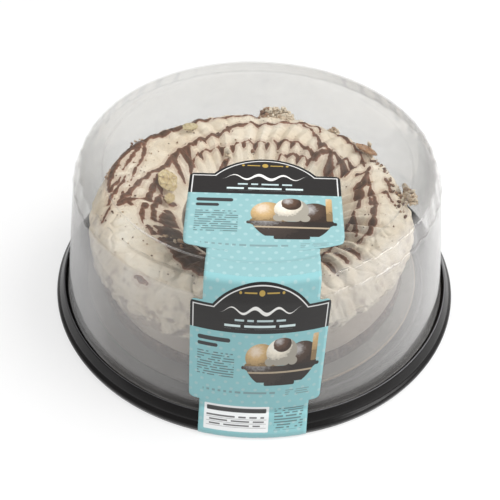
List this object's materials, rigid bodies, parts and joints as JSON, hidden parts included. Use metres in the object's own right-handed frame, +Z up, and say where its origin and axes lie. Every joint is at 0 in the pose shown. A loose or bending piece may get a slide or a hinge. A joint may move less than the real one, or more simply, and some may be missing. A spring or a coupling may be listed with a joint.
{
  "type": "ice cream cake in a lidded pack",
  "caption": "Round ice cream cake with piped cream and fudge drizzle on a biscuit crust, shut in a black tray with a clear lid and a wrap-over paper label.",
  "frame": {"origin": "middle of the pack's foot, on the surface it stands on", "axes": "+Z up; the label's front panel faces -Y; +X to the right as seen from the front"},
  "size_m": [0.254, 0.2547, 0.0982],
  "materials": {
    "black_plastic": "glossy black formed sheet",
    "clear_plastic": "clear formed sheet with a slight haze",
    "label_paper": "coated paper, pale teal with a dark header",
    "board": "dark laminated board with a pale cut edge",
    "crust": "dark pressed biscuit crumb, matt",
    "ice_cream": "smooth pale ice cream, satin",
    "cream": "piped cream, satin, with dark fudge drizzle",
    "fudge": "dark fudge, semi-gloss",
    "biscuit": "dry golden biscuit, matt"
  },
  "bodies": {
    "root": {"tray": "black_plastic", "clear_lid": "clear_plastic", "label": "label_paper", "cake_board": "board", "biscuit_crust": "crust", "ice_cream_layer": "ice_cream", "cream_ring": "cream", "fudge_centre": "fudge", "biscuit_flake_1": "biscuit", "biscuit_flake_2": "biscuit", "biscuit_flake_3": "biscuit", "biscuit_flake_4": "biscuit", "biscuit_flake_5": "biscuit", "crumb_clump": "biscuit"}
  },
  "joints": []
}
